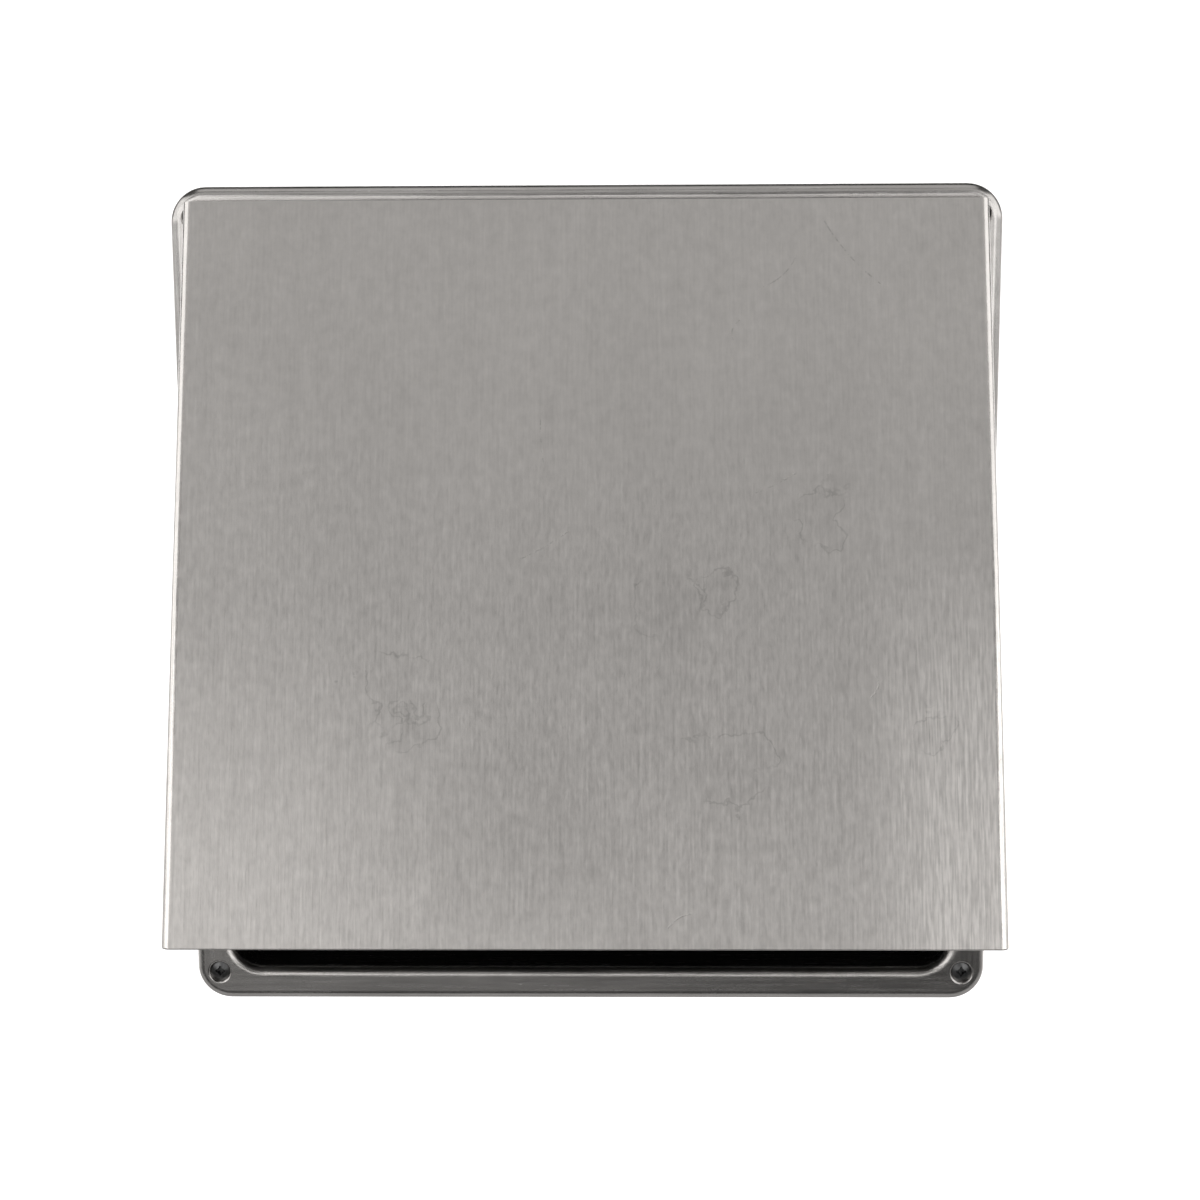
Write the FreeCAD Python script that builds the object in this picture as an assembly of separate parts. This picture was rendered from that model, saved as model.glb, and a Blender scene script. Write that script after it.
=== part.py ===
import FreeCAD, Part
import math
import os

# Wall-recessed tissue roll dispenser with a hinged sheet-metal hood.
# Millimetres. +X to the right, +Y back into the wall, +Z up. The wall face is the
# plane Y = 0 and the object's front faces -Y.

V = FreeCAD.Vector
os.makedirs("parts", exist_ok=True)

# sheet and clearances
SHEET = 0.8
LAP = 0.05            # gap between lapped, spot-welded sheets
BODY_GAP = 0.35       # gap between pieces that move past each other
FIT = 0.05            # radial clearance of a turning or sliding fit
THREAD_FIT = 0.01     # radial clearance of a thread or of a pin that is held fast
RIVET_FIT = 0.02      # radial clearance of a rivet in its holes
PAST = 20.0           # how far a cutting shape runs past what it cuts

# face flange: a drawn pan with a seamless border and a throat into the wall
FLANGE_W = 157.0
FLANGE_H = 160.4
FLANGE_R = 6.8
FLANGE_RISE = 5.0     # height of the face above the wall
FLANGE_ROLL = 1.9     # rolled outer edge
MOUTH_W = 143.0
MOUTH_H = 146.4
MOUTH_R = 6.5
MOUTH_ROLL = 2.2
THROAT_END = 6.0

# corner screws, their dimples, washers and nuts
SCREW_X = 73.9
SCREW_Z = 74.4
DIMPLE_R = 2.2
DIMPLE_RIM = 0.45
DIMPLE_DEPTH = 1.5
DIMPLE_WALL = 0.9     # measured square to the screw
HOLE_R = 1.35
SCREW_R = 1.2
SCREW_HEAD_R = 1.75
SCREW_DOME = 0.35
SCREW_END = 19.6
SCREW_TIP = 0.5
CROSS_W = 2.0
CROSS_T = 0.5
PANEL_T = 13.0        # thickness of the wall panel that is clamped
BAR_T = 2.0
BAR_TOP = 79.5
BAR_FOOT = 64.0
BAR_W = 157.0
BAR_R = 4.0
BOX_CLEAR = 0.6       # between the clamp bars and the recess box
WASHER_R = 3.0
WASHER_T = 0.5
NUT_AF = 5.0
NUT_T = 2.0
NUT_BEVEL = 0.35

# recess box
BOX_START = 1.0
BOX_END = 74.0
BACK_FACE = 69.2      # front surface of the back panel

# hood
HOOD_W = 150.5
HOOD_L = 138.5        # length down the slope
HOOD_TILT = 19.9      # degrees from the wall
HOOD_TOP_Y = -8.7
HOOD_TOP_Z = 77.6
HOOD_FOLD = 1.4
HOOD_CORNER = 5.0     # lower rear corner of each cheek
HOOD_DEBURR = 0.25    # outer lower edge
CHEEK_REAR_Y = -(FLANGE_RISE + BODY_GAP)

# continuous hinge behind the top edge of the hood
LEAF_T = 0.7
KNUCKLE_R = 1.3
PIN_R = 0.6
PIN_PROUD = 0.5
PIN_EDGE = 0.3
KNUCKLES = 11
KNUCKLE_PITCH = 11.0
KNUCKLE_GAP = 0.3
NOTCH_CLEAR = 0.4     # round a knuckle, in the other leaf
HINGE_DROP = 0.5      # axis below the hood's top edge, along the slope
HINGE_DEPTH = SHEET + 0.3 + KNUCKLE_R
HOOD_LEAF_H = 13.0
FRAME_LEAF_END = 5.5

# telescopic roller
ROLLER_Y = 13.0
ROLLER_Z = 0.0
SLEEVE_R = 8.75
SLEEVE_BORE_R = 7.55
SLEEVE_LEFT = -62.0
SLEEVE_RIGHT = 22.0
SLEEVE_LIP = 2.0
CORE_R = 7.0
CORE_LEFT = -14.0
CORE_RIGHT = 62.0
COLLAR_R = SLEEVE_BORE_R - FIT
COLLAR_T = 4.0
END_WALL = 3.0
TUBE_WALL = 1.2
ROLLER_CHAMFER = 1.2
LIP_CHAMFER = 0.5
JOURNAL_R = 3.5
JOURNAL_END = 71.85
JOURNAL_CHAMFER = 0.6
SPRING_R = 5.4
SPRING_WIRE_R = 0.6
SPRING_TURNS = 12

# sockets on the side walls of the recess
SOCKET_FACE = 68.4
SOCKET_BOSS_R = 6.5
SOCKET_PLATE_T = 1.2
SOCKET_PLATE_Y = 13.2
SOCKET_PLATE_Z = 32.0
SOCKET_PLATE_R = 5.0
SOCKET_BOSS_EDGE = 1.0
LEAD_IN = 0.6
RIVET_Z = 11.5
RIVET_R = 1.2
RIVET_HEAD_R = 2.3
RIVET_HEAD_H = 0.9
RIVET_TAIL_R = 1.9
RIVET_TAIL_H = 1.0


def edges_where(shape, test):
    """Edges whose every sampled point passes the test."""
    found = []
    for edge in shape.Edges:
        first, last = edge.ParameterRange
        points = [edge.valueAt(first + (last - first) * k / 4.0) for k in range(5)]
        if all(test(p) for p in points):
            found.append(edge)
    return found


def near(a, b, tol=0.01):
    return abs(a - b) < tol


def rounded_block(width, height, radius, y0, y1):
    """Block along Y whose corners are rounded, centred on the Y axis."""
    block = Part.makeBox(width, y1 - y0, height, V(-width / 2, y0, -height / 2))
    corners = edges_where(block, lambda p: near(abs(p.x), width / 2) and near(abs(p.z), height / 2))
    return block.makeFillet(radius, corners)


def soften_at(shape, y, radius, half_w=1e3, half_h=1e3):
    """Round all edges that lie in the plane Y = y, within the given half sizes."""
    ring = edges_where(shape, lambda p: near(p.y, y) and abs(p.x) < half_w and abs(p.z) < half_h)
    return shape.makeFillet(radius, ring)


def rod_x(radius, x0, x1, y, z):
    return Part.makeCylinder(radius, x1 - x0, V(x0, y, z), V(1, 0, 0))


def rod_y(radius, y0, y1, x, z):
    return Part.makeCylinder(radius, y1 - y0, V(x, y0, z), V(0, 1, 0))


def cone_y(r0, r1, y0, y1, x, z):
    return Part.makeCone(r0, r1, y1 - y0, V(x, y0, z), V(0, 1, 0))


def prism_x(points, x0, x1):
    """Extrude a polygon of (y, z) points along X."""
    loop = [V(x0, y, z) for y, z in points]
    return Part.Face(Part.makePolygon(loop + loop[:1])).extrude(V(x1 - x0, 0, 0))


def turned(profile, y, z):
    """Solid of revolution about the line along X at (y, z), from (x, radius) points."""
    loop = [V(x, y, z + r) for x, r in profile]
    face = Part.Face(Part.makePolygon(loop + loop[:1]))
    return face.revolve(V(0, y, z), V(1, 0, 0), 360)


def fuse_all(shapes):
    result = shapes[0].multiFuse(shapes[1:]) if len(shapes) > 1 else shapes[0]
    return result.removeSplitter()


def mirrored_x(shape):
    return shape.mirror(V(0, 0, 0), V(1, 0, 0))


def mirrored_z(shape):
    return shape.mirror(V(0, 0, 0), V(0, 0, 1))


def four_corners():
    return [(sx * SCREW_X, sz * SCREW_Z) for sx in (-1, 1) for sz in (-1, 1)]


TILT = math.radians(HOOD_TILT)


def on_hood(depth, down):
    """(y, z) of a point behind the hood's outer face, measured square to it and down it."""
    y = HOOD_TOP_Y + depth * math.cos(TILT) - down * math.sin(TILT)
    z = HOOD_TOP_Z - depth * math.sin(TILT) - down * math.cos(TILT)
    return y, z


def hood_block(x0, x1, depth0, depth1, down0, down1):
    """Block aligned with the hood's face."""
    corners = [(depth0, down0), (depth1, down0), (depth1, down1), (depth0, down1)]
    return prism_x([on_hood(*c) for c in corners], x0, x1)


HINGE_Y, HINGE_Z = on_hood(HINGE_DEPTH, HINGE_DROP)
HINGE_HALF = KNUCKLES * KNUCKLE_PITCH / 2


def knuckle_spans(first):
    """X spans of every second knuckle."""
    spans = []
    for k in range(first, KNUCKLES, 2):
        start = -HINGE_HALF + k * KNUCKLE_PITCH
        spans.append((start + KNUCKLE_GAP / 2, start + KNUCKLE_PITCH - KNUCKLE_GAP / 2))
    return spans


FRAME_KNUCKLES = knuckle_spans(0)
HOOD_KNUCKLES = knuckle_spans(1)


def face_flange():
    outer = rounded_block(FLANGE_W, FLANGE_H, FLANGE_R, -FLANGE_RISE, 0)
    outer = soften_at(outer, -FLANGE_RISE, FLANGE_ROLL)
    inner_w = FLANGE_W - 2 * SHEET
    inner_h = FLANGE_H - 2 * SHEET
    inner = rounded_block(inner_w, inner_h, FLANGE_R - SHEET, SHEET - FLANGE_RISE, PAST)
    inner = soften_at(inner, SHEET - FLANGE_RISE, FLANGE_ROLL - SHEET)
    throat_w = MOUTH_W + 2 * SHEET
    throat_h = MOUTH_H + 2 * SHEET
    throat = rounded_block(throat_w, throat_h, MOUTH_R + SHEET, SHEET / 2 - FLANGE_RISE, THROAT_END)
    mouth = rounded_block(MOUTH_W, MOUTH_H, MOUTH_R, -PAST, PAST)
    pan = outer.cut(inner).fuse(throat)
    for x, z in four_corners():
        boss_end = DIMPLE_DEPTH - FLANGE_RISE + 0.3
        boss = cone_y(DIMPLE_R + DIMPLE_WALL, HOLE_R + DIMPLE_WALL, -FLANGE_RISE, boss_end, x, z)
        pan = pan.fuse(boss.common(outer))
    pan = pan.cut(mouth)
    for x, z in four_corners():
        pan = pan.cut(cone_y(DIMPLE_R, HOLE_R, -FLANGE_RISE, DIMPLE_DEPTH - FLANGE_RISE, x, z))
        pan = pan.cut(rod_y(HOLE_R, -FLANGE_RISE, 0, x, z))
    pan = pan.removeSplitter()
    pan = soften_at(pan, -FLANGE_RISE, MOUTH_ROLL, MOUTH_W / 2 + 0.1, MOUTH_H / 2 + 0.1)

    def on_rim(p):
        return near(p.y, -FLANGE_RISE) and near(math.hypot(abs(p.x) - SCREW_X, abs(p.z) - SCREW_Z), DIMPLE_R)

    return pan.makeFillet(DIMPLE_RIM, edges_where(pan, on_rim))


def box_wrapper():
    inner_w = MOUTH_W + 2 * SHEET + 2 * LAP
    inner_h = MOUTH_H + 2 * SHEET + 2 * LAP
    inner_r = MOUTH_R + SHEET + LAP
    tube = rounded_block(inner_w + 2 * SHEET, inner_h + 2 * SHEET, inner_r + SHEET, BOX_START, BOX_END)
    tube = tube.cut(rounded_block(inner_w, inner_h, inner_r, BOX_START - PAST, BOX_END + PAST))
    for z in (-RIVET_Z, RIVET_Z):
        tube = tube.cut(rod_x(RIVET_R + RIVET_FIT, -inner_w, inner_w, ROLLER_Y, ROLLER_Z + z))
    return tube


def box_back_panel():
    width = MOUTH_W + 2 * SHEET
    height = MOUTH_H + 2 * SHEET
    radius = MOUTH_R + SHEET
    dish = rounded_block(width, height, radius, BACK_FACE, BOX_END)
    dish = soften_at(dish, BACK_FACE, 2 * SHEET)
    hollow_w, hollow_h = width - 2 * SHEET, height - 2 * SHEET
    hollow_start = BACK_FACE + SHEET
    hollow = rounded_block(hollow_w, hollow_h, radius - SHEET, hollow_start, BOX_END + PAST)
    hollow = soften_at(hollow, hollow_start, SHEET)
    return dish.cut(hollow)


def roller_socket():
    """Socket on the right-hand wall."""
    wall = MOUTH_W / 2 + SHEET + LAP
    plate_x0 = wall - SOCKET_PLATE_T
    half_y, half_z = SOCKET_PLATE_Y / 2, SOCKET_PLATE_Z / 2
    corner = V(plate_x0, ROLLER_Y - half_y, ROLLER_Z - half_z)
    plate = Part.makeBox(SOCKET_PLATE_T, SOCKET_PLATE_Y, SOCKET_PLATE_Z, corner)

    def on_corner(p):
        return near(abs(p.y - ROLLER_Y), half_y) and near(abs(p.z - ROLLER_Z), half_z)

    plate = plate.makeFillet(SOCKET_PLATE_R, edges_where(plate, on_corner))
    boss = rod_x(SOCKET_BOSS_R, SOCKET_FACE, wall, ROLLER_Y, ROLLER_Z)
    boss = boss.makeFillet(SOCKET_BOSS_EDGE, edges_where(boss, lambda p: near(p.x, SOCKET_FACE)))
    bore_r = JOURNAL_R + FIT
    socket = fuse_all([plate, boss])
    socket = socket.cut(rod_x(bore_r, SOCKET_FACE - PAST, wall + PAST, ROLLER_Y, ROLLER_Z))
    for z in (-RIVET_Z, RIVET_Z):
        socket = socket.cut(rod_x(RIVET_R + RIVET_FIT, plate_x0 - PAST, wall + PAST, ROLLER_Y, ROLLER_Z + z))
    mouth = V(SOCKET_FACE, ROLLER_Y, ROLLER_Z)
    return socket.cut(Part.makeCone(bore_r + LEAD_IN, bore_r, LEAD_IN, mouth, V(1, 0, 0)))


def socket_rivets():
    """Two domed rivets in each socket, with their upset ends outside the recess box."""
    head = MOUTH_W / 2 + SHEET + LAP - SOCKET_PLATE_T
    tail = head + SOCKET_PLATE_T + SHEET
    domed_head = [(head - RIVET_HEAD_H, 0), (head - 0.9 * RIVET_HEAD_H, 0.5 * RIVET_HEAD_R),
                  (head - 0.4 * RIVET_HEAD_H, 0.9 * RIVET_HEAD_R), (head, RIVET_HEAD_R), (head, RIVET_R)]
    upset_end = [(tail, RIVET_R), (tail, RIVET_TAIL_R), (tail + 0.6 * RIVET_TAIL_H, RIVET_TAIL_R),
                 (tail + RIVET_TAIL_H, 0.75 * RIVET_TAIL_R), (tail + RIVET_TAIL_H, 0)]
    rivets = []
    for z in (-RIVET_Z, RIVET_Z):
        right = turned(domed_head + upset_end, ROLLER_Y, ROLLER_Z + z)
        rivets += [right, mirrored_x(right)]
    return Part.makeCompound(rivets)


def hinge_frame_leaf():
    face = -FLANGE_RISE
    bend_y = face + MOUTH_ROLL
    bend_z = MOUTH_H / 2 + MOUTH_ROLL
    x0 = -HINGE_HALF + KNUCKLE_GAP / 2
    length = 2 * HINGE_HALF - KNUCKLE_GAP
    leg = Part.makeBox(length, LEAF_T, HINGE_Z - bend_z, V(x0, face - LEAF_T, bend_z))
    foot = Part.makeBox(length, FRAME_LEAF_END - bend_y, LEAF_T, V(x0, bend_y, MOUTH_H / 2 - LEAF_T))
    reach = MOUTH_ROLL + LEAF_T
    ring = rod_x(reach, x0, x0 + length, bend_y, bend_z)
    ring = ring.cut(rod_x(MOUTH_ROLL, x0 - PAST, x0 + length + PAST, bend_y, bend_z))
    quarter = Part.makeBox(length, reach, reach, V(x0, bend_y - reach, bend_z - reach))
    leaf = fuse_all([leg, ring.common(quarter), foot])
    notch_z = HINGE_Z - KNUCKLE_R - NOTCH_CLEAR
    for a, b in HOOD_KNUCKLES:
        corner = V(a - KNUCKLE_GAP, face - PAST, notch_z)
        leaf = leaf.cut(Part.makeBox(b - a + 2 * KNUCKLE_GAP, PAST, PAST, corner))
    barrels = [rod_x(KNUCKLE_R, a, b, HINGE_Y, HINGE_Z) for a, b in FRAME_KNUCKLES]
    leaf = fuse_all([leaf] + barrels)
    return leaf.cut(rod_x(PIN_R + THREAD_FIT, -HINGE_HALF - PAST, HINGE_HALF + PAST, HINGE_Y, HINGE_Z))


def hinge_hood_leaf():
    x0 = -HINGE_HALF + KNUCKLE_GAP / 2
    x1 = HINGE_HALF - KNUCKLE_GAP / 2
    leaf = hood_block(x0, x1, SHEET, SHEET + LEAF_T, HINGE_DROP, HOOD_LEAF_H)
    notch_end = HINGE_DROP + KNUCKLE_R + NOTCH_CLEAR
    for a, b in FRAME_KNUCKLES:
        leaf = leaf.cut(hood_block(a - KNUCKLE_GAP, b + KNUCKLE_GAP, -PAST, PAST, -PAST, notch_end))
    barrels = [rod_x(KNUCKLE_R, a, b, HINGE_Y, HINGE_Z) for a, b in HOOD_KNUCKLES]
    leaf = fuse_all([leaf] + barrels)
    return leaf.cut(rod_x(PIN_R + FIT, -HINGE_HALF - PAST, HINGE_HALF + PAST, HINGE_Y, HINGE_Z))


def hinge_pin():
    end = HINGE_HALF + PIN_PROUD
    pin = rod_x(PIN_R, -end, end, HINGE_Y, HINGE_Z)
    return pin.makeFillet(PIN_EDGE, edges_where(pin, lambda p: near(abs(p.x), end)))


def hood_panel():
    """Plate with a wedge-shaped cheek folded back along each side."""
    half = HOOD_W / 2
    bottom_z = on_hood(0, HOOD_L)[1]
    wedge = prism_x([on_hood(0, 0), on_hood(0, HOOD_L), (CHEEK_REAR_Y, bottom_z),
                     (CHEEK_REAR_Y, HINGE_Z - HINGE_DROP), on_hood(SHEET, 0)], -half, half)
    rear_corner = edges_where(wedge, lambda p: near(p.y, CHEEK_REAR_Y) and near(p.z, bottom_z))
    wedge = wedge.makeFillet(HOOD_CORNER, rear_corner)
    hollow = hood_block(SHEET - half, half - SHEET, SHEET, HOOD_L, -PAST, HOOD_L + PAST)

    def behind_face(p):
        return (p.y - HOOD_TOP_Y) * math.cos(TILT) - (p.z - HOOD_TOP_Z) * math.sin(TILT)

    def on_fold(p, x, depth):
        return near(abs(p.x), x) and near(behind_face(p), depth)

    wedge = wedge.makeFillet(HOOD_FOLD, edges_where(wedge, lambda p: on_fold(p, half, 0)))
    inner_folds = edges_where(hollow, lambda p: on_fold(p, half - SHEET, SHEET))
    hollow = hollow.makeFillet(HOOD_FOLD - SHEET, inner_folds)
    sheet = wedge.cut(hollow)
    lower_edge = edges_where(sheet, lambda p: near(p.z, bottom_z) and near(behind_face(p), 0))
    return sheet.makeFillet(HOOD_DEBURR, lower_edge)


def mounting_screws():
    screws = []
    slope = DIMPLE_DEPTH / (DIMPLE_R - HOLE_R)
    head_y = -FLANGE_RISE + (DIMPLE_R - SCREW_HEAD_R) * slope - 0.02
    neck_y = head_y + (SCREW_HEAD_R - SCREW_R) * slope
    sphere_r = (SCREW_HEAD_R ** 2 + SCREW_DOME ** 2) / (2 * SCREW_DOME)
    tip_y = SCREW_END - SCREW_TIP
    for x, z in four_corners():
        ball = Part.makeSphere(sphere_r, V(x, head_y - SCREW_DOME + sphere_r, z))
        cap = ball.common(rod_y(SCREW_HEAD_R, head_y - PAST, head_y, x, z))
        cone = cone_y(SCREW_HEAD_R, SCREW_R, head_y, neck_y, x, z)
        shank = rod_y(SCREW_R, neck_y, tip_y, x, z)
        tip = cone_y(SCREW_R, SCREW_R - SCREW_TIP, tip_y, SCREW_END, x, z)
        screw = fuse_all([cap, cone, shank, tip])
        for w, h in ((CROSS_W, CROSS_T), (CROSS_T, CROSS_W)):
            screw = screw.cut(Part.makeBox(w, 1.3, h, V(x - w / 2, head_y - 0.5, z - h / 2)))
        screw = screw.cut(cone_y(0.75, 0.3, head_y - 0.4, head_y + 0.9, x, z))
        screws.append(screw)
    return Part.makeCompound(screws)


def top_clamp_bar():
    """Bar behind the wall panel, notched round the recess box."""
    height = BAR_TOP - BAR_FOOT
    bar = Part.makeBox(BAR_W, BAR_T, height, V(-BAR_W / 2, PANEL_T, BAR_FOOT))
    corners = edges_where(bar, lambda p: near(abs(p.x), BAR_W / 2) and near(p.z, BAR_TOP))
    bar = bar.makeFillet(BAR_R, corners)
    around = 2 * SHEET + LAP + BOX_CLEAR
    cut_out = rounded_block(MOUTH_W + 2 * around, MOUTH_H + 2 * around, MOUTH_R + around, 0, PANEL_T + PAST)
    bar = bar.cut(cut_out)
    for x, z in four_corners():
        bar = bar.cut(rod_y(HOLE_R, 0, PANEL_T + PAST, x, z))
    return bar


def clamp_washers():
    washers = []
    y0 = PANEL_T + BAR_T
    for x, z in four_corners():
        ring = rod_y(WASHER_R, y0, y0 + WASHER_T, x, z)
        washers.append(ring.cut(rod_y(HOLE_R, 0, y0 + PAST, x, z)))
    return Part.makeCompound(washers)


def clamp_nuts():
    nuts = []
    y0 = PANEL_T + BAR_T + WASHER_T
    corner_r = NUT_AF / math.sqrt(3)
    for x, z in four_corners():
        loop = []
        for k in range(6):
            angle = math.radians(60 * k)
            loop.append(V(x + corner_r * math.cos(angle), y0, z + corner_r * math.sin(angle)))
        nut = Part.Face(Part.makePolygon(loop + loop[:1])).extrude(V(0, NUT_T, 0))
        bevel = cone_y(corner_r + NUT_T - NUT_BEVEL, corner_r - NUT_BEVEL, y0, y0 + NUT_T, x, z)
        nut = nut.common(bevel).cut(rod_y(SCREW_R + THREAD_FIT, 0, y0 + PAST, x, z))
        nuts.append(nut)
    return Part.makeCompound(nuts)


def roller_sleeve():
    """Outer tube with a closed left end, a journal, and a lip that keeps the core in."""
    inside = SLEEVE_LEFT + END_WALL
    lip = SLEEVE_RIGHT - SLEEVE_LIP
    journal = [(-JOURNAL_END, 0), (-JOURNAL_END, JOURNAL_R - JOURNAL_CHAMFER),
               (JOURNAL_CHAMFER - JOURNAL_END, JOURNAL_R), (SLEEVE_LEFT, JOURNAL_R)]
    outside = [(SLEEVE_LEFT, SLEEVE_R - ROLLER_CHAMFER), (SLEEVE_LEFT + ROLLER_CHAMFER, SLEEVE_R),
               (SLEEVE_RIGHT - LIP_CHAMFER, SLEEVE_R), (SLEEVE_RIGHT, SLEEVE_R - LIP_CHAMFER)]
    bore = [(SLEEVE_RIGHT, CORE_R + FIT), (lip, CORE_R + FIT), (lip, SLEEVE_BORE_R),
            (inside, SLEEVE_BORE_R), (inside, 0)]
    return turned(journal + outside + bore, ROLLER_Y, ROLLER_Z)


def roller_core():
    """Inner tube with a closed left end, a stop collar and the right-hand journal."""
    bore_r = CORE_R - TUBE_WALL
    bore_left, bore_right = CORE_LEFT + END_WALL, CORE_RIGHT - END_WALL
    collar_end = CORE_LEFT + COLLAR_T
    tube = [(CORE_LEFT, 0), (CORE_LEFT, COLLAR_R), (collar_end, COLLAR_R), (collar_end, CORE_R),
            (CORE_RIGHT - ROLLER_CHAMFER, CORE_R), (CORE_RIGHT, CORE_R - ROLLER_CHAMFER)]
    journal = [(CORE_RIGHT, JOURNAL_R), (JOURNAL_END - JOURNAL_CHAMFER, JOURNAL_R),
               (JOURNAL_END, JOURNAL_R - JOURNAL_CHAMFER), (JOURNAL_END, 0)]
    bore = [(bore_left, 0), (bore_left, bore_r), (bore_right, bore_r), (bore_right, 0)]
    return turned(tube + journal, ROLLER_Y, ROLLER_Z).cut(turned(bore, ROLLER_Y, ROLLER_Z))


def roller_spring():
    x0 = SLEEVE_LEFT + END_WALL + SPRING_WIRE_R + LAP
    x1 = CORE_LEFT - BODY_GAP - SPRING_WIRE_R
    length = x1 - x0
    helix = Part.makeHelix(length / SPRING_TURNS, length, SPRING_R)
    start = helix.Edges[0].valueAt(helix.Edges[0].FirstParameter)
    tangent = helix.Edges[0].tangentAt(helix.Edges[0].FirstParameter)
    ring = Part.Wire(Part.makeCircle(SPRING_WIRE_R, start, tangent))
    coil = helix.makePipeShell([ring], True, True)
    coil.rotate(V(0, 0, 0), V(0, 1, 0), 90)
    coil.translate(V(x0, ROLLER_Y, ROLLER_Z))
    return coil


def build_all():
    right_socket = roller_socket()
    top_bar = top_clamp_bar()
    return {
        "face_flange": face_flange(),
        "box_wrapper": box_wrapper(),
        "box_back_panel": box_back_panel(),
        "left_roller_socket": mirrored_x(right_socket),
        "right_roller_socket": right_socket,
        "socket_rivets": socket_rivets(),
        "hinge_frame_leaf": hinge_frame_leaf(),
        "hinge_pin": hinge_pin(),
        "hinge_hood_leaf": hinge_hood_leaf(),
        "hood_panel": hood_panel(),
        "mounting_screws": mounting_screws(),
        "top_clamp_bar": top_bar,
        "bottom_clamp_bar": mirrored_z(top_bar),
        "clamp_washers": clamp_washers(),
        "clamp_nuts": clamp_nuts(),
        "roller_sleeve": roller_sleeve(),
        "roller_core": roller_core(),
        "roller_spring": roller_spring(),
    }


for name, shape in build_all().items():
    shape.exportStep("parts/" + name + ".step")
    print(name, "valid", shape.isValid(), "solids", len(shape.Solids), "volume", round(shape.Volume, 1))
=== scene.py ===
import math

import bpy
from mathutils import Matrix, Vector


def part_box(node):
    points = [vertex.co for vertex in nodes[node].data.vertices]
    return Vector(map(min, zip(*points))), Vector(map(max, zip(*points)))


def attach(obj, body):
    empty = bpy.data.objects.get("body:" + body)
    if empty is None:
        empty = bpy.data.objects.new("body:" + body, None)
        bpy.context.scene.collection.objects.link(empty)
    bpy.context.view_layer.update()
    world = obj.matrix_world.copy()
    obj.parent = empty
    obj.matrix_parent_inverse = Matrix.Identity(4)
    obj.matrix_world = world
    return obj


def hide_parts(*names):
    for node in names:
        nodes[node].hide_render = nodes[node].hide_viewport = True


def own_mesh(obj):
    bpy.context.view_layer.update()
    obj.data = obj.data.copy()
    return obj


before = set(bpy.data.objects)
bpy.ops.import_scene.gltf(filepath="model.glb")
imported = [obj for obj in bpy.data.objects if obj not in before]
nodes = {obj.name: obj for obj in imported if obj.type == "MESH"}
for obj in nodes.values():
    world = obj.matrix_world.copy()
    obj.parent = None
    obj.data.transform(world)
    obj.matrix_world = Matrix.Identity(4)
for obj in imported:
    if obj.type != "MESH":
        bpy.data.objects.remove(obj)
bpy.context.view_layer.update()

# ---------------------------------------------------------------- sizes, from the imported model
MM = 0.001
HOOD_TOP_Y = -8.7 * MM        # top edge of the hood's plate
hood_lo, hood_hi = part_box("hood_panel")
tilt = math.atan2(HOOD_TOP_Y - hood_lo.y, hood_hi.z - hood_lo.z)
grain_way = (0.0, math.sin(tilt), math.cos(tilt))


# ---------------------------------------------------------------- node helpers
class Tree:
    """Short names for building a node material."""

    def __init__(self, name):
        self.mat = bpy.data.materials.new(name)
        self.mat.use_nodes = True
        self.nt = self.mat.node_tree
        self.nt.nodes.clear()
        out = self.nt.nodes.new("ShaderNodeOutputMaterial")
        self.bsdf = self.nt.nodes.new("ShaderNodeBsdfPrincipled")
        self.nt.links.new(self.bsdf.outputs[0], out.inputs[0])

    def put(self, socket, value):
        if isinstance(value, bpy.types.NodeSocket):
            self.nt.links.new(value, socket)
        else:
            socket.default_value = value

    def set(self, name, value):
        self.put(self.bsdf.inputs[name], value)

    def node(self, kind, inputs=(), out=0, **props):
        n = self.nt.nodes.new(kind)
        for key, value in props.items():
            setattr(n, key, value)
        for key, value in dict(inputs).items():
            self.put(n.inputs[key], value)
        return n.outputs[out]

    def math(self, op, a, b=0.0, c=0.0, clamp=False):
        return self.node("ShaderNodeMath", {0: a, 1: b, 2: c}, operation=op, use_clamp=clamp)

    def vec(self, op, a, b=(0, 0, 0), out=0):
        return self.node("ShaderNodeVectorMath", {0: a, 1: b}, out=out, operation=op)

    def place(self):
        return self.node("ShaderNodeTexCoord", out=3)

    def split(self, vector):
        n = self.nt.nodes.new("ShaderNodeSeparateXYZ")
        self.nt.links.new(vector, n.inputs[0])
        return n.outputs

    def join(self, x, y, z):
        return self.node("ShaderNodeCombineXYZ", {0: x, 1: y, 2: z})

    def turn(self, vector, angle):
        """Rotate about X."""
        return self.node("ShaderNodeVectorRotate", {"Vector": vector, "Angle": angle}, rotation_type="X_AXIS")

    def noise(self, vector, scale, detail=2.0, rough=0.5, distort=0.0):
        return self.node("ShaderNodeTexNoise", {"Vector": vector, "Scale": scale, "Detail": detail,
                                                "Roughness": rough, "Distortion": distort})

    def ramp(self, value, low, high, to_low=0.0, to_high=1.0, smooth=True):
        return self.node("ShaderNodeMapRange", {0: value, 1: low, 2: high, 3: to_low, 4: to_high},
                         interpolation_type="SMOOTHSTEP" if smooth else "LINEAR")

    def mix(self, factor, a, b):
        n = self.nt.nodes.new("ShaderNodeMix")
        n.data_type = "RGBA"
        self.put(n.inputs[0], factor)
        self.put(n.inputs[6], a)
        self.put(n.inputs[7], b)
        return n.outputs[2]

    def grey(self, value, warm=1.0):
        """Colour of one brightness, a little warm or cool."""
        return self.node("ShaderNodeCombineColor", {0: self.math("MULTIPLY", value, warm), 1: value,
                                                    2: self.math("DIVIDE", value, warm)})

    def bump(self, height, strength, distance):
        settings = {"Strength": strength, "Distance": distance, "Height": height}
        self.set("Normal", self.node("ShaderNodeBump", settings))


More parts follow.
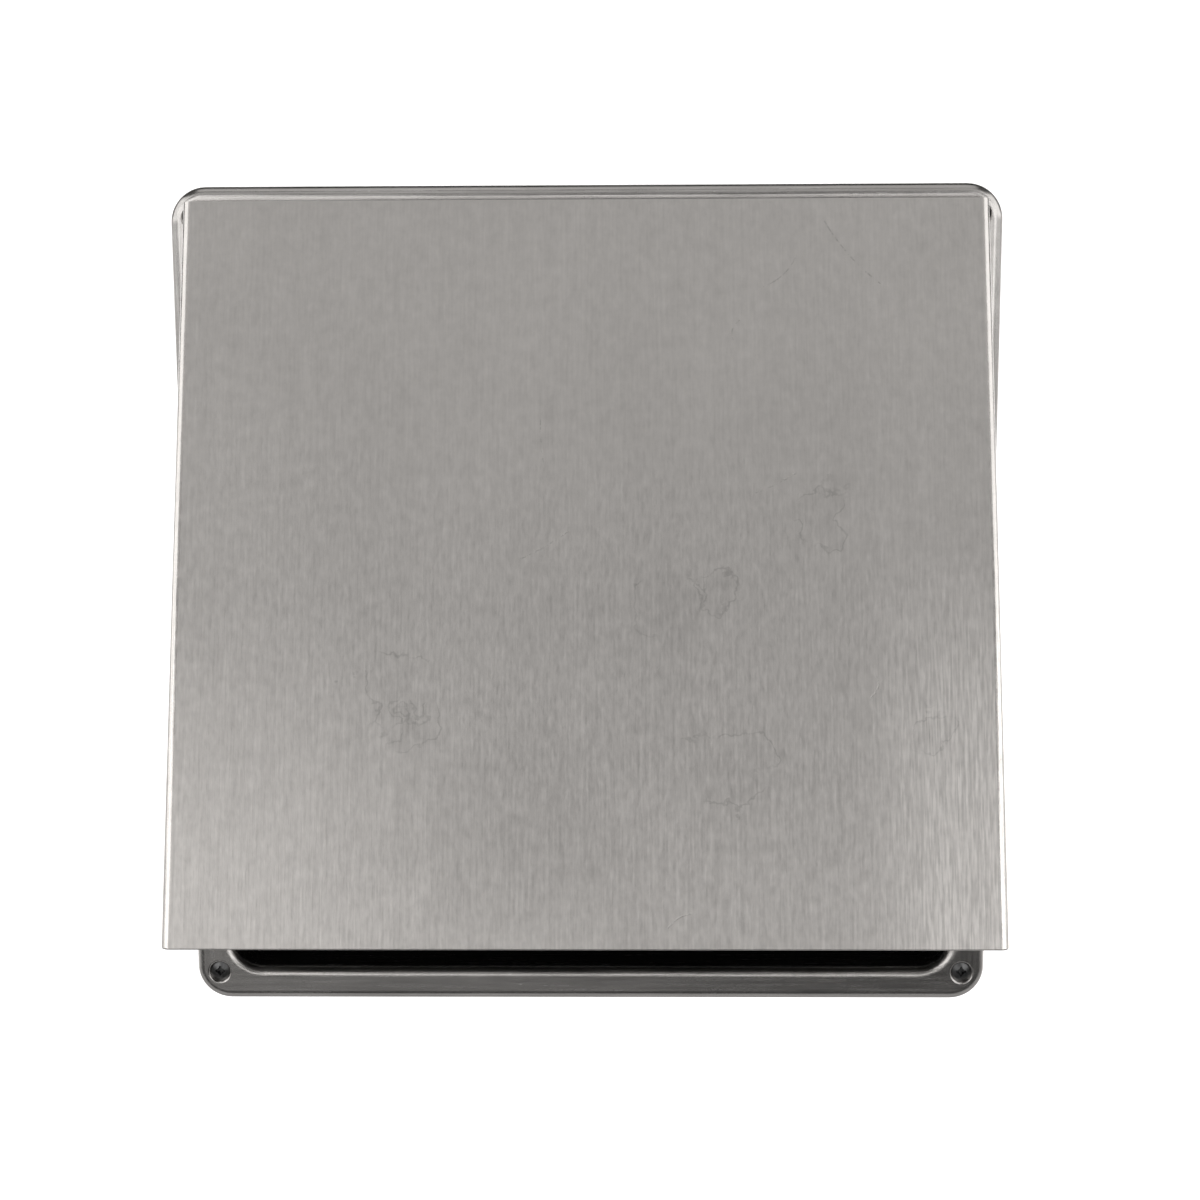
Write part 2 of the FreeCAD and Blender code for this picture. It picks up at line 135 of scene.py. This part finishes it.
def give(material, *names):
    """Put one material on every slot of these CAD nodes."""
    for name in names:
        for s in nodes[name].material_slots:
            s.material = material


# ---------------------------------------------------------------- brushed sheet
def centred(t, noise, amount, base):
    """Base plus a noise that swings both ways."""
    return t.math("MULTIPLY_ADD", t.math("SUBTRACT", noise, 0.5), amount, base)


def widest(t, masks):
    """Wherever any of the masks is set."""
    top = masks[0]
    for m in masks[1:]:
        top = t.math("MAXIMUM", top, m)
    return top


def scratch(t, sheet, x0, s0, x1, s1, width, bow=0.0):
    """Mask of a thin curved line between two points of the sheet, in millimetres."""
    start, run = (x0 * MM, s0 * MM, 0.0), ((x1 - x0) * MM, (s1 - s0) * MM, 0.0)
    length2 = run[0] ** 2 + run[1] ** 2
    side = (-run[1] * bow * 4, run[0] * bow * 4, 0.0)
    rel = t.vec("SUBTRACT", sheet, start)
    part = t.math("DIVIDE", t.vec("DOT_PRODUCT", rel, run, out=1), length2, clamp=True)
    arch = t.math("MULTIPLY", part, t.math("SUBTRACT", 1.0, part))
    on_line = t.vec("ADD", t.node("ShaderNodeVectorMath", {0: run, 3: part}, operation="SCALE"),
                    t.node("ShaderNodeVectorMath", {0: side, 3: arch}, operation="SCALE"))
    gap = t.vec("DISTANCE", rel, on_line, out=1)
    return t.ramp(gap, 0.0, width * MM, 1.0, 0.0)


# centre and radius of each drop mark, then end points, width and bow of each scratch;
# millimetres across the plate from its middle and down it from its top edge
DROP_MARKS = ((-35, 92, 9), (-30, 99, 6), (15, 77, 10), (24, 75, 6), (63, 99, 5), (26, 106, 10), (42, 60, 8))
SCRATCHES = (
    (44.5, 4.5, 54.5, 16.5, 0.24, 0.05),
    (39, 11.5, 33, 17, 0.2, -0.1),
    (31, 56, 39, 52, 0.24, 0.03),
    (-11.5, 68, -3, 63, 0.24, 0.03),
    (28.5, 23.5, 27.5, 27.5, 0.24, 0.2),
    (52.5, 89.5, 51.5, 93.5, 0.24, -0.2),
    (-8, 42, -7.5, 50, 0.2, 0.03),
    (19, 132, 15, 134.5, 0.2, 0.1),
)
PATCH_X, PATCH_DOWN = -12 * MM, 116 * MM
PATCH_CORE, PATCH_EDGE = 6 * MM, 27 * MM
# the bends along the plate's sides start at this distance from its middle and go this deep
BEND_START, BEND_FULL = 73.5 * MM, 74.0 * MM
BEND_DEPTH, BEND_DEPTH_END = 1.2 * MM, 1.8 * MM


def brushed_hood():
    """Plate brushed along its slope, with a painted highlight in streaks at the lower right, drop marks, a
    darker patch, scratches and a painted highlight on the side bends.
    """
    t = Tree("brushed_hood")
    local = t.turn(t.vec("SUBTRACT", t.place(), (0, HOOD_TOP_Y, hood_hi.z)), tilt)
    x, depth, height = t.split(local)
    sheet = t.join(x, t.math("MULTIPLY", height, -1.0), 0.0)
    short = t.noise(t.vec("MULTIPLY", local, (1400.0, 1400.0, 420.0)), 1.0, 3.0, 0.6)
    long = t.noise(t.vec("MULTIPLY", local, (2000.0, 2000.0, 85.0)), 1.0, 2.0, 0.6)
    broad = t.noise(t.vec("MULTIPLY", local, (260.0, 260.0, 9.0)), 1.0, 2.0, 0.5)
    cloud = t.noise(local, 30.0, 4.0, 0.6)
    mottle = t.noise(local, 380.0, 3.0, 0.6)
    lower = t.ramp(height, -0.030, -0.120, 0.40, 0.85)
    value = t.math("MULTIPLY_ADD", t.math("MULTIPLY", t.math("SUBTRACT", short, 0.5), lower), 0.24, 0.545)
    value = t.math("MULTIPLY_ADD", t.math("MULTIPLY", t.math("SUBTRACT", long, 0.5), lower), 0.22, value)
    value = centred(t, broad, 0.05, value)
    value = centred(t, cloud, 0.09, value)
    value = centred(t, mottle, 0.14, value)
    # painted highlight: brighter streaks towards the lower right
    lower_right_highlight = t.math("MULTIPLY", t.ramp(x, 0.046, 0.066), t.ramp(height, -0.062, -0.098))
    highlight_streaks = t.noise(t.vec("MULTIPLY", local, (2600.0, 2600.0, 160.0)), 1.0, 2.0, 0.5)
    value = t.math("MULTIPLY_ADD", lower_right_highlight, t.ramp(highlight_streaks, 0.36, 0.66, 0.05, 0.20), value)
    # marks of dried drops: a faint blot with a darker, wandering and broken outline
    wobble = t.node("ShaderNodeTexNoise", {"Vector": sheet, "Scale": 190.0, "Detail": 4.0}, out=1)
    drift = t.vec("MULTIPLY", t.vec("SUBTRACT", wobble, (0.5, 0.5, 0.5)), (0.016, 0.016, 0.0))
    wander = t.vec("ADD", sheet, drift)
    blots, outlines = [], []
    for cx, cs, radius in DROP_MARKS:
        gap = t.vec("DISTANCE", wander, (cx * MM, cs * MM, 0), out=1)
        blots.append(t.ramp(gap, 0.3 * radius * MM, radius * MM, 0.25, 0.0))
        edge = t.math("ABSOLUTE", t.math("SUBTRACT", gap, 0.7 * radius * MM))
        outlines.append(t.ramp(edge, 0.0, 0.6 * MM, 1.0, 0.0))
    broken = t.ramp(t.noise(sheet, 90.0, 3.0), 0.40, 0.54)
    smudge = t.math("MAXIMUM", widest(t, blots), t.math("MULTIPLY", widest(t, outlines), broken))
    value = t.math("MULTIPLY_ADD", smudge, -0.11, value)
    # one broad darker patch low on the plate
    patch = t.vec("DISTANCE", wander, (PATCH_X, PATCH_DOWN, 0), out=1)
    value = t.math("MULTIPLY_ADD", t.ramp(patch, PATCH_CORE, PATCH_EDGE, 1.0, 0.0), -0.045, value)
    cut = widest(t, [scratch(t, sheet, *line) for line in SCRATCHES])
    cut = t.math("MULTIPLY", cut, t.ramp(t.noise(sheet, 700.0, 3.0, 0.7), 0.42, 0.58))
    value = t.math("MULTIPLY_ADD", cut, -0.13, value)
    # the bends along both sides are stretched smooth, and their base colour is lifted as a painted highlight
    bend_smooth_and_highlight = t.math("MULTIPLY", t.ramp(t.math("ABSOLUTE", x), BEND_START, BEND_FULL),
                  t.ramp(depth, BEND_DEPTH, BEND_DEPTH_END, 1.0, 0.0))
    value = t.math("MULTIPLY_ADD", bend_smooth_and_highlight, 0.12, value)
    t.set("Base Color", t.grey(t.math("MAXIMUM", value, 0.05), 1.045))
    t.set("Metallic", 1.0)
    rough = centred(t, short, 0.14, 0.36)
    t.set("Roughness", t.math("MULTIPLY_ADD", bend_smooth_and_highlight, -0.16, rough))
    t.set("Anisotropic", 0.5)
    normal = t.node("ShaderNodeNewGeometry", out=1)
    t.set("Tangent", t.vec("CROSS_PRODUCT", normal, grain_way))
    ridge = t.math("SUBTRACT", t.math("ADD", short, long), t.math("MULTIPLY", cut, 1.5))
    t.bump(ridge, 0.28, 0.00006)
    return t.mat


def brushed_flange():
    """Border brushed along each of its four sides."""
    t = Tree("brushed_flange")
    here = t.place()
    x, _, z = t.split(here)
    level = t.noise(t.vec("MULTIPLY", here, (60.0, 1700.0, 1700.0)), 1.0, 3.0, 0.6)
    upright = t.noise(t.vec("MULTIPLY", here, (1700.0, 1700.0, 60.0)), 1.0, 3.0, 0.6)
    on_side = t.ramp(t.math("SUBTRACT", t.math("ABSOLUTE", x), t.math("ABSOLUTE", z)), -0.004, 0.002)
    lines = t.math("ADD", t.math("MULTIPLY", upright, on_side),
                   t.math("MULTIPLY", level, t.math("SUBTRACT", 1.0, on_side)))
    cloud = t.noise(here, 60.0, 3.0, 0.6)
    streak = t.noise(t.vec("MULTIPLY", here, (35.0, 330.0, 330.0)), 1.0, 3.0, 0.6)
    value = centred(t, lines, 0.30, 0.52)
    value = centred(t, cloud, 0.16, value)
    value = centred(t, streak, 0.20, value)
    t.set("Base Color", t.grey(value, 1.04))
    t.set("Metallic", 1.0)
    t.set("Roughness", centred(t, lines, 0.16, 0.25))
    t.bump(t.math("MULTIPLY_ADD", cloud, 0.6, lines), 0.30, 0.00006)
    return t.mat


def black_coat():
    """Near-black matt coat on the recess box as painted shade of the recess, with a faint orange peel, a
    little dust and grey flecks of wear.
    """
    t = Tree("black_coat")
    here = t.place()
    peel = t.noise(here, 900.0, 2.0, 0.5)
    dust = t.ramp(t.noise(here, 45.0, 4.0, 0.7), 0.45, 0.75)
    # painted shade: the recess box is coloured near black
    value = t.math("MULTIPLY_ADD", dust, 0.005, 0.004)
    flecks = t.ramp(t.noise(here, 2200.0, 2.0, 0.5), 0.74, 0.80)
    t.set("Base Color", t.grey(t.math("MULTIPLY_ADD", flecks, 0.03, value), 1.01))
    t.set("Roughness", centred(t, peel, 0.2, 0.66))
    t.set("Specular IOR Level", 0.14)
    t.bump(peel, 0.25, 0.0001)
    return t.mat


def mill_sheet():
    """Unpolished sheet: dull, with rolling lines and handling marks."""
    t = Tree("mill_sheet")
    here = t.place()
    lines = t.noise(t.vec("MULTIPLY", here, (900.0, 60.0, 900.0)), 1.0, 3.0, 0.6)
    cloud = t.noise(here, 22.0, 4.0, 0.6)
    value = centred(t, cloud, 0.16, centred(t, lines, 0.10, 0.34))
    t.set("Base Color", t.grey(value))
    t.set("Metallic", 1.0)
    t.set("Roughness", centred(t, cloud, 0.25, 0.48))
    t.bump(t.math("ADD", lines, cloud), 0.25, 0.0001)
    return t.mat


def plain_metal(name, value, rough, warm=1.0, scale=900.0):
    """Unbrushed metal with a fine speck and a faint cloud."""
    t = Tree(name)
    here = t.place()
    speck = t.noise(here, scale, 3.0, 0.6)
    cloud = t.noise(here, scale * 0.08, 2.0, 0.5)
    varied = centred(t, cloud, value * 0.3, centred(t, speck, value * 0.35, value))
    t.set("Base Color", t.grey(varied, warm))
    t.set("Metallic", 1.0)
    t.set("Roughness", centred(t, speck, 0.2, rough))
    t.bump(speck, 0.2, 0.00005)
    return t.mat


def screw_metal():
    """Dark bright screw with a fine grain."""
    t = Tree("screw_metal")
    speck = t.noise(t.place(), 1500.0, 2.0, 0.6)
    t.set("Base Color", t.grey(centred(t, speck, 0.12, 0.15)))
    t.set("Metallic", 1.0)
    t.set("Roughness", t.math("MULTIPLY_ADD", speck, 0.15, 0.28))
    t.bump(speck, 0.2, 0.00005)
    return t.mat


def moulded():
    """Dark moulded plastic with a fine grain."""
    t = Tree("moulded_plastic")
    here = t.place()
    speck = t.noise(here, 1400.0, 3.0, 0.6)
    cloud = t.noise(here, 70.0, 2.0, 0.5)
    value = centred(t, speck, 0.012, centred(t, cloud, 0.02, 0.045))
    t.set("Base Color", t.grey(value, 0.99))
    t.set("Roughness", centred(t, speck, 0.2, 0.42))
    t.bump(speck, 0.15, 0.0001)
    return t.mat


give(brushed_hood(), "hood_panel")
give(brushed_flange(), "face_flange")
give(black_coat(), "box_wrapper", "box_back_panel")
give(mill_sheet(), "left_roller_socket", "right_roller_socket")
give(plain_metal("rivet_metal", 0.62, 0.35), "socket_rivets")
give(plain_metal("hinge_steel", 0.5, 0.3), "hinge_frame_leaf", "hinge_hood_leaf", "hinge_pin")
give(screw_metal(), "mounting_screws")
give(plain_metal("zinc_plate", 0.56, 0.34, 0.99, 500.0), "top_clamp_bar", "bottom_clamp_bar")
give(plain_metal("nut_steel", 0.45, 0.28, 0.98), "clamp_washers", "clamp_nuts")
give(moulded(), "roller_sleeve", "roller_core")
give(plain_metal("spring_wire", 0.45, 0.25), "roller_spring")


# ---------------------------------------------------------------- screw threads
THREAD_PITCH = 0.45 * MM
THREAD_ROOT, THREAD_CREST = 1.19 * MM, 1.30 * MM
THREAD_HALF = 0.42            # half the ridge's width at its root, in pitches
THREAD_STEPS = 16             # per turn
THREAD_START = -2.6 * MM      # just behind the head
THREAD_SPARE = 0.9 * MM       # plain end of the shank
SCREW_HEAD_R = 1.75 * MM
FADE_FLOOR = 0.05             # ridge height left at each run-out, as a share


def screw_thread(name, x, z, material):
    """Ridge of triangular section wound round one shank, running out at both ends."""
    end = screw_box[1].y - THREAD_SPARE
    count = int((end - THREAD_START) / THREAD_PITCH * THREAD_STEPS)
    section = ((THREAD_ROOT, -THREAD_HALF), (THREAD_CREST, 0.0), (THREAD_ROOT, THREAD_HALF))
    verts, faces = [], []
    for k in range(count + 1):
        a = 2 * math.pi * k / THREAD_STEPS
        y = THREAD_START + k * THREAD_PITCH / THREAD_STEPS
        fade = max(FADE_FLOOR, min(1.0, k / THREAD_STEPS, (count - k) / THREAD_STEPS))
        for radius, shift in section:
            r = THREAD_ROOT + (radius - THREAD_ROOT) * fade
            verts.append((x + r * math.cos(a), y + shift * THREAD_PITCH, z + r * math.sin(a)))
    for k in range(count):
        for i in range(3):
            j = (i + 1) % 3
            faces.append((3 * k + i, 3 * k + j, 3 * k + 3 + j, 3 * k + 3 + i))
    faces += [(2, 1, 0), (3 * count, 3 * count + 1, 3 * count + 2)]
    mesh = bpy.data.meshes.new(name)
    mesh.from_pydata(verts, [], faces)
    mesh.materials.append(material)
    ridge = bpy.data.objects.new(name, mesh)
    bpy.context.scene.collection.objects.link(ridge)
    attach(ridge, "wall_frame")


screw_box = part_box("mounting_screws")
thread_material = nodes["mounting_screws"].material_slots[0].material
columns = {"left": screw_box[0].x + SCREW_HEAD_R, "right": screw_box[1].x - SCREW_HEAD_R}
rows = {"lower": screw_box[0].z + SCREW_HEAD_R, "upper": screw_box[1].z - SCREW_HEAD_R}
for side, screw_x in columns.items():
    for level, screw_z in rows.items():
        screw_thread("screw_thread_%s_%s" % (level, side), screw_x, screw_z, thread_material)


def squashed_spring():
    """Copy of the coil with its own mesh, moving with the roller sleeve, in place of the hidden CAD spring.
    """
    cad = nodes["roller_spring"]
    coil = bpy.data.objects.new("spring_coil", cad.data.copy())
    bpy.context.scene.collection.objects.link(coil)
    coil.matrix_world = cad.matrix_world.copy()
    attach(coil, "roller_sleeve_body")
    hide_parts("roller_spring")
    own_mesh(coil)


squashed_spring()


# ---------------------------------------------------------------- stage, lights, camera
STAGE_GLOW, STAGE_GLOW_SHADE_NEAR = 0.9, 0.15
STAGE_PALE, STAGE_SHADE_NEAR = 0.9, 0.4
SHADE_FADE_START, SHADE_FADE_END = 0.25, 0.65      # the floor turns from near to far over this depth
STAGE_FRONT, STAGE_BACK, STAGE_HALF_WIDTH = -0.25, 1.9, 2.2
STAGE_FLOOR, STAGE_TOP = -0.45, 1.3
STAGE_BEND, STAGE_BEND_STEPS = 0.5, 12
WORLD_GLOW = 0.06


def stage_sheet():
    """Pale glowing floor that curves up into a backdrop behind the object, darker and glowing less near the
    object as painted shade.
    """
    bend_start = STAGE_BACK - STAGE_BEND
    line = [(STAGE_FRONT, STAGE_FLOOR), (bend_start, STAGE_FLOOR)]
    for k in range(1, STAGE_BEND_STEPS + 1):
        a = math.radians(90 * k / STAGE_BEND_STEPS)
        rise = STAGE_BEND - STAGE_BEND * math.cos(a)
        line.append((bend_start + STAGE_BEND * math.sin(a), STAGE_FLOOR + rise))
    line.append((STAGE_BACK, STAGE_TOP))
    verts = [(sx * STAGE_HALF_WIDTH, y, z) for y, z in line for sx in (-1, 1)]
    faces = [(2 * k, 2 * k + 1, 2 * k + 3, 2 * k + 2) for k in range(len(line) - 1)]
    mesh = bpy.data.meshes.new("stage_floor")
    mesh.from_pydata(verts, [], faces)
    for face in mesh.polygons:
        face.use_smooth = True
    floor = bpy.data.objects.new("stage_floor", mesh)
    bpy.context.scene.collection.objects.link(floor)
    t = Tree("stage_paper")
    back = t.split(t.place())[1]
    # painted shade: near the object the floor is darker and glows less
    t.set("Base Color", t.grey(t.ramp(back, SHADE_FADE_START, SHADE_FADE_END, STAGE_SHADE_NEAR, STAGE_PALE)))
    t.set("Roughness", 0.9)
    t.set("Emission Color", (1, 1, 1, 1))
    t.set("Emission Strength", t.ramp(back, SHADE_FADE_START, SHADE_FADE_END, STAGE_GLOW_SHADE_NEAR, STAGE_GLOW))
    mesh.materials.append(t.mat)


def card(name, azimuth, elevation, distance, width, height, radiance):
    """Soft rectangular light that faces the object; angles in degrees, seen from the object's front."""
    a, e = math.radians(azimuth), math.radians(elevation)
    place = Vector((math.sin(a) * math.cos(e), -math.cos(a) * math.cos(e), math.sin(e))) * distance
    light = bpy.data.lights.new(name, "AREA")
    light.shape = "RECTANGLE"
    light.size, light.size_y = width, height
    light.energy = radiance * math.pi * width * height
    lamp = bpy.data.objects.new(name, light)
    bpy.context.scene.collection.objects.link(lamp)
    lamp.location = place
    lamp.rotation_euler = (-place).to_track_quat("-Z", "Y").to_euler()
    lamp.visible_camera = False


# name, azimuth, elevation, distance, width, height, radiance
CARDS = (
    ("horizon_card", 0, -1, 1.6, 2.0, 0.24, 1.4),
    ("low_card", -16, -24, 1.6, 0.9, 0.50, 0.20),
    ("upper_card", 0, 24, 1.6, 2.2, 0.50, 0.17),
    ("high_card", 0, 46, 1.6, 2.2, 0.80, 0.49),
    ("top_card", 0, 84, 1.3, 1.2, 0.90, 0.60),
    ("left_card", -74, 25, 1.0, 1.0, 0.70, 1.3),
    ("right_card", 74, 25, 1.0, 1.0, 0.70, 1.3),
    ("left_low_card", -92, -4, 1.2, 2.0, 0.60, 0.6),
    ("right_low_card", 92, -4, 1.2, 2.0, 0.60, 0.6),
    ("left_front_card", -30, 12, 1.4, 0.95, 0.52, 1.60),
    ("right_front_card", 32, 9, 1.4, 0.8, 0.60, 1.45),
)
stage_sheet()
for settings in CARDS:
    card(*settings)

world = bpy.data.worlds.new("studio")
world.use_nodes = True
world.node_tree.nodes["Background"].inputs[0].default_value = (1, 1, 1, 1)
world.node_tree.nodes["Background"].inputs[1].default_value = WORLD_GLOW
bpy.context.scene.world = world
bpy.context.scene.view_settings.view_transform = "Standard"

AZ, EL, DIST, ROLL, LENS = math.radians(1.15), math.radians(10.51), 0.470, math.radians(-0.318), 72.06
back = Vector((math.sin(AZ) * math.cos(EL), -math.cos(AZ) * math.cos(EL), math.sin(EL)))
cam = bpy.data.cameras.new("camera")
cam.lens, cam.sensor_width = LENS, 36.0
cam.shift_x, cam.shift_y = 0.010, 0.0004
cam.clip_start, cam.clip_end = 0.01, 50.0
cam_o = bpy.data.objects.new("camera", cam)
bpy.context.scene.collection.objects.link(cam_o)
look = (-back).to_track_quat("-Z", "Y").to_matrix() @ Matrix.Rotation(ROLL, 3, "Z")
cam_o.matrix_world = Matrix.Translation(back * DIST) @ look.to_4x4()
bpy.context.scene.camera = cam_o

bpy.context.view_layer.update()
